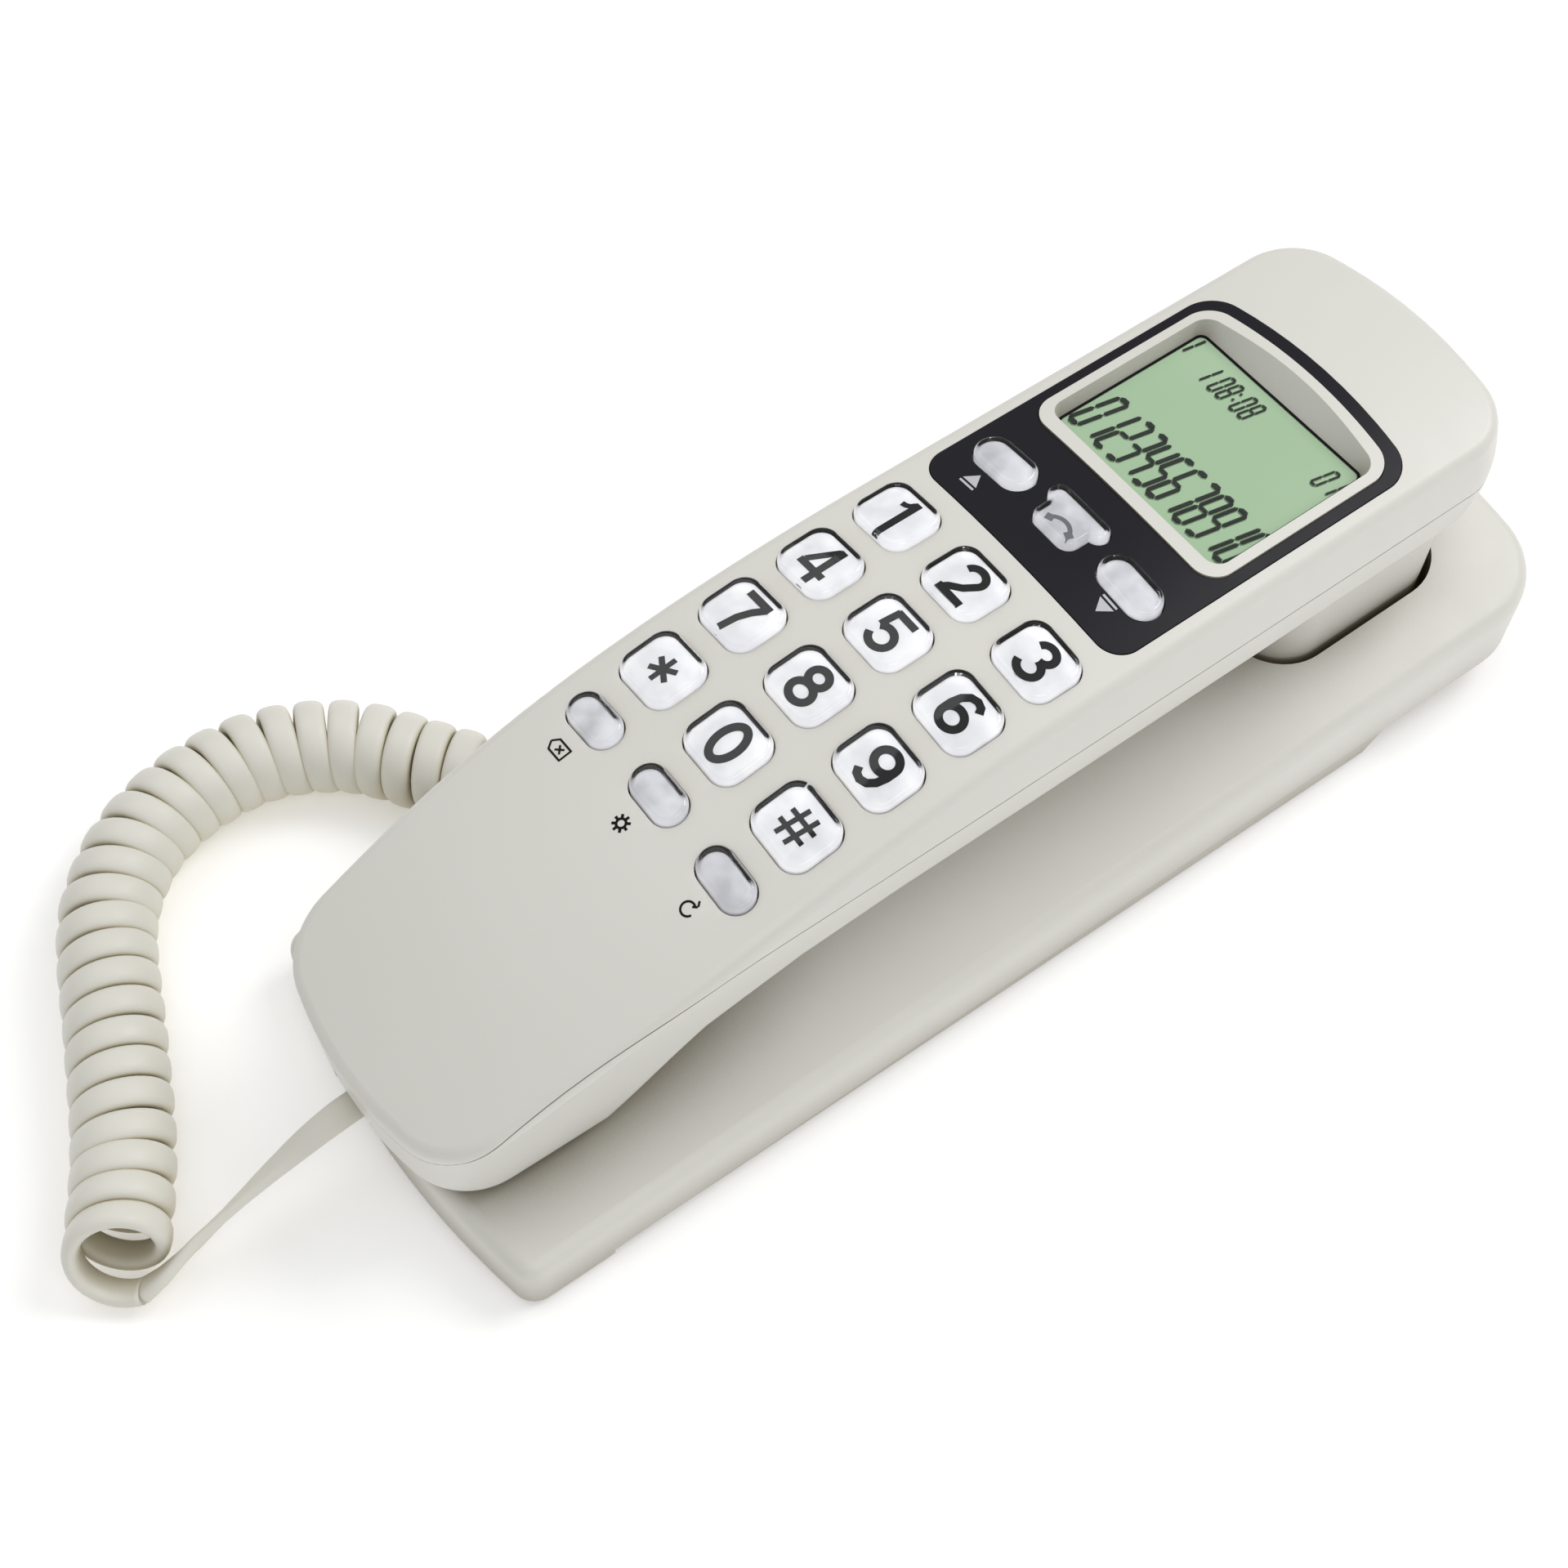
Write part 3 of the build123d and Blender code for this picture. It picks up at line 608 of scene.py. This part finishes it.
erase = [
    line(-1.9, 0, -1.0, 1.15), line(-1.9, 0, -1.0, -1.15),
    line(-1.1, 1.1, 2.0, 1.1), line(-1.1, -1.1, 2.0, -1.1),
    line(1.9, -1.2, 1.9, 1.2), line(-0.2, -0.5, 1.0, 0.5), line(-0.2, 0.5, 1.0, -0.5),
]
settings = [(loop(0, 0, 0.75, 0.75, 20), 0.4, True)]
for k in range(8):
    c, s = math.cos(math.radians(45 * k)), math.sin(math.radians(45 * k))
    settings.append(line(0.85 * c, 0.85 * s, 1.45 * c, 1.45 * s, 0.42))
again = [(arc(0, 0, 1.1, 1.1, 70, 350), 0.32, False), ([(0.2, 1.95), (0.75, 1.35)], 0.3, False),
         ([(0.2, 0.65), (0.75, 1.25)], 0.3, False)]
ICON_ROW_Y = -63.6
for x, shape, name in ((-17.2, erase, "erase"), (-0.2, settings, "settings"), (16.8, again, "repeat")):
    figure("handset", shape, x, ICON_ROW_Y, 0.03).name = "icon_" + name
ARROW_Y = 14.3
ARROW_LIFT = 0.17
for x, tip, name in ((-15.6, 1, "list_up"), (15.2, -1, "list_down")):
    triangle = [(x - 1.6, ARROW_Y - tip), (x + 1.6, ARROW_Y - tip), (x, ARROW_Y + 1.3 * tip)]
    under = ARROW_Y - 1.6 * tip
    bar_line = strip([(x - 1.6, under), (x + 1.6, under)], 0.4, on_face, ARROW_LIFT)
    verts, faces = merge([slab(triangle if tip > 0 else triangle[::-1], on_face, ARROW_LIFT), bar_line])
    piece("icon_" + name, verts, faces, PALE_INK, "handset", False)
figure("key_call", HANDSET_SIGN, 0.0, PANEL_KEY_Y - 0.3, CORE_TOP + GLYPH_LIFT, SIGN)

# ---------------------------------------------------------------- the cord
# All in mm: the coil's middle line on the table, its winding, and the flat band it is wound from.
COIL_PATH = (
    (-45.0, -65.0), (-52.0, -70.0), (-63.5, -79.0), (-70.5, -91.5), (-71.5, -104.5), (-68.0, -116.5),
    (-61.5, -125.0), (-53.0, -131.0), (-35.0, -138.5), (-18.0, -146.0), (-3.0, -155.0),
)
COIL_R = 6.7
COIL_Z = 8.1
TURNS = 26.083
FIRST_ANGLE = math.pi
BAND_WIDE = 5.1
BAND_THICK = 2.7
STEPS_PER_TURN = 40
END_TILT = 0.42  # radians the last ring leans back, over the last share of the coil
END_TILT_SHARE = 0.13
EDGE_SHARE = 0.25  # the tail has turned on edge after this share of its length, and flat after the other
FLAT_SHARE = 0.9


def smooth_path(points, count):
    """Catmull-Rom curve through points, resampled evenly."""
    p = np.array(points, float)
    p = np.vstack([2 * p[0] - p[1], p, 2 * p[-1] - p[-2]])
    out = []
    for i in range(1, len(p) - 2):
        for t in np.linspace(0, 1, 40, endpoint=False):
            out.append(0.5 * (
                2 * p[i] + (p[i + 1] - p[i - 1]) * t
                + (2 * p[i - 1] - 5 * p[i] + 4 * p[i + 1] - p[i + 2]) * t ** 2
                + (3 * p[i] - p[i - 1] - 3 * p[i + 1] + p[i + 2]) * t ** 3
            ))
    out.append(p[-2])
    out = np.array(out)
    s = np.concatenate([[0], np.cumsum(np.linalg.norm(np.diff(out, axis=0), axis=1))])
    even = np.linspace(0, s[-1], count)
    return np.stack([np.interp(even, s, out[:, k]) for k in range(out.shape[1])], 1)


SIDE_POWER = 0.7
DOME_POWER = 0.9


def band_profile(wide, thick, n=16):
    """Cross-section of the flat cord: rounded, its wide faces gently domed. First value along the width."""
    out = []
    for k in range(n):
        a = 2 * math.pi * k / n
        c, s = math.cos(a), math.sin(a)
        across = wide / 2 * math.copysign(abs(c) ** SIDE_POWER, c)
        out.append((across, thick / 2 * math.copysign(abs(s) ** DOME_POWER, s)))
    return out


def unit(v):
    return v / np.linalg.norm(v)


def band(points, outward, thick=None):
    """Closed flat cord along points, its thickness along the outward directions."""
    rings = []
    for i, point in enumerate(points):
        profile = band_profile(BAND_WIDE, thick[i] if thick else BAND_THICK)
        t = unit(points[min(i + 1, len(points) - 1)] - points[max(i - 1, 0)])
        out = unit(outward[i] - t * np.dot(outward[i], t))
        wide = np.cross(out, t)
        rings.append([Vector((point + wide * u + out * v) * MM) for u, v in profile])
    return stack(rings)


UP = np.array([0, 0, 1.0])
centre = smooth_path([(x, y, COIL_Z) for x, y in COIL_PATH], 400)
heading = np.gradient(centre, axis=0)
STEPS = int(TURNS * STEPS_PER_TURN)
coil_points, coil_out = [], []
for i in range(STEPS + 1):
    f = i / STEPS
    where = f * (len(centre) - 1)
    k = min(int(where), len(centre) - 2)
    c = centre[k] + (centre[k + 1] - centre[k]) * (where - k)
    t = unit(heading[k] + (heading[k + 1] - heading[k]) * (where - k))
    side = unit(np.cross(UP, t))
    tilt = END_TILT * max(0.0, (f - 1 + END_TILT_SHARE) / END_TILT_SHARE)
    lean = UP * math.cos(tilt) - t * math.sin(tilt)
    a = FIRST_ANGLE - 2 * math.pi * TURNS * f
    radial = math.cos(a) * lean + math.sin(a) * side
    coil_points.append(c + COIL_R * radial)
    coil_out.append(radial)
LEAD = ((-43.7, -55.0, 6.4), (-47.2, -56.2, 4.2), (-47.8, -60.5, 2.2))
lead = smooth_path(list(LEAD) + [tuple(coil_points[0])], 24)
lead_out = [-UP for _ in lead[:-1]]
verts, faces = band(list(lead[:-1]) + coil_points, lead_out + coil_out)
coil = piece("coil", verts, faces, CORD, "base")
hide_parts("coiled_cord")

TAIL = (
    (1.1, -150.2, 4.5), (0.6, -145.5, 6.2), (-0.1, -138.0, 9.0), (-0.6, -130.0, 12.1),
    (-0.6, -122.5, 15.3), (-0.3, -117.0, 17.5), (0.0, -112.6, 18.7),
)
TAIL_THICK = 1.8
EDGE_ON = np.array([0.3, -0.2, 0.93])
FLAT_ON = np.array([1.0, 0, 0])
tail = smooth_path([tuple(coil_points[-1])] + list(TAIL), 72)
tail_out, tail_thick = [], []
leaving = np.cross(coil_out[-1], unit(tail[1] - tail[0]))
for i in range(len(tail)):
    f = i / (len(tail) - 1)
    t = unit(tail[min(i + 1, len(tail) - 1)] - tail[max(i - 1, 0)])
    if f < EDGE_SHARE:
        wide = unit(leaving * (1 - f / EDGE_SHARE) + EDGE_ON * f / EDGE_SHARE)
    else:
        turn = min(1.0, (f - EDGE_SHARE) / (FLAT_SHARE - EDGE_SHARE))
        wide = unit(EDGE_ON * (1 - turn) + FLAT_ON * turn)
    tail_out.append(unit(np.cross(t, wide)))
    tail_thick.append(BAND_THICK + (TAIL_THICK - BAND_THICK) * min(1.0, f / EDGE_SHARE))
verts, faces = band(list(tail), tail_out, tail_thick)
cord_tail = piece("tail", verts, faces, CORD, None)
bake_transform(cord_tail)
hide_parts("cord_tail")

# ---------------------------------------------------------------- floor, light, camera
def sheet(name, size, z, mat):
    mesh = bpy.data.meshes.new(name)
    h = size / 2
    mesh.from_pydata([(-h, -h, z), (h, -h, z), (h, h, z), (-h, h, z)], [], [(0, 1, 2, 3)])
    mesh.materials.append(mat)
    obj = bpy.data.objects.new(name, mesh)
    bpy.context.scene.collection.objects.link(obj)
    return obj


FLOOR, floor_tree, floor_shader = material("floor")
floor_shader.inputs["Base Color"].default_value = (0.93, 0.93, 0.93, 1)
floor_shader.inputs["Roughness"].default_value = 0.9
floor_shader.inputs["Emission Color"].default_value = (1, 1, 1, 1)
floor_shader.inputs["Emission Strength"].default_value = 0.27
sheet("floor", 6.0, -0.0002, FLOOR)


LIGHT_AIM = Vector((0, 0, 0.03))


def softbox(name, at, size, power):
    """Square soft light pointed at the object; size in metres, power in watts."""
    light = bpy.data.lights.new(name, "AREA")
    light.shape = "SQUARE"
    light.size = size
    light.energy = power
    obj = bpy.data.objects.new(name, light)
    obj.location = at
    obj.rotation_euler = (LIGHT_AIM - Vector(at)).to_track_quat("-Z", "Y").to_euler()
    bpy.context.scene.collection.objects.link(obj)


softbox("key_light", (0.1, 0.65, 0.85), 0.5, 4.0)
softbox("fill_light", (-0.5, -0.1, 0.9), 0.8, 2.0)
softbox("side_light", (0.6, -0.15, 0.9), 0.6, 1.75)
world = bpy.data.worlds.new("studio")
world.use_nodes = True
world.node_tree.nodes["Background"].inputs["Color"].default_value = (1, 1, 1, 1)
world.node_tree.nodes["Background"].inputs["Strength"].default_value = 0.42
bpy.context.scene.world = world
bpy.context.scene.view_settings.view_transform = "Standard"

camera = bpy.data.cameras.new("camera")
camera.sensor_width = 36.0
camera.lens = 51.66
camera.clip_start = 0.01
eye = bpy.data.objects.new("camera", camera)
right = Vector((0.5901, 0.8069, 0.0257))
above = Vector((-0.6854, 0.4838, 0.5442))
back = Vector((0.4267, -0.3387, 0.8385))
turn = Matrix((right, above, back)).transposed().to_4x4()
eye.matrix_world = Matrix.Translation((0.15037, -0.15359, 0.33202)) @ turn
bpy.context.scene.collection.objects.link(eye)
bpy.context.scene.camera = eye
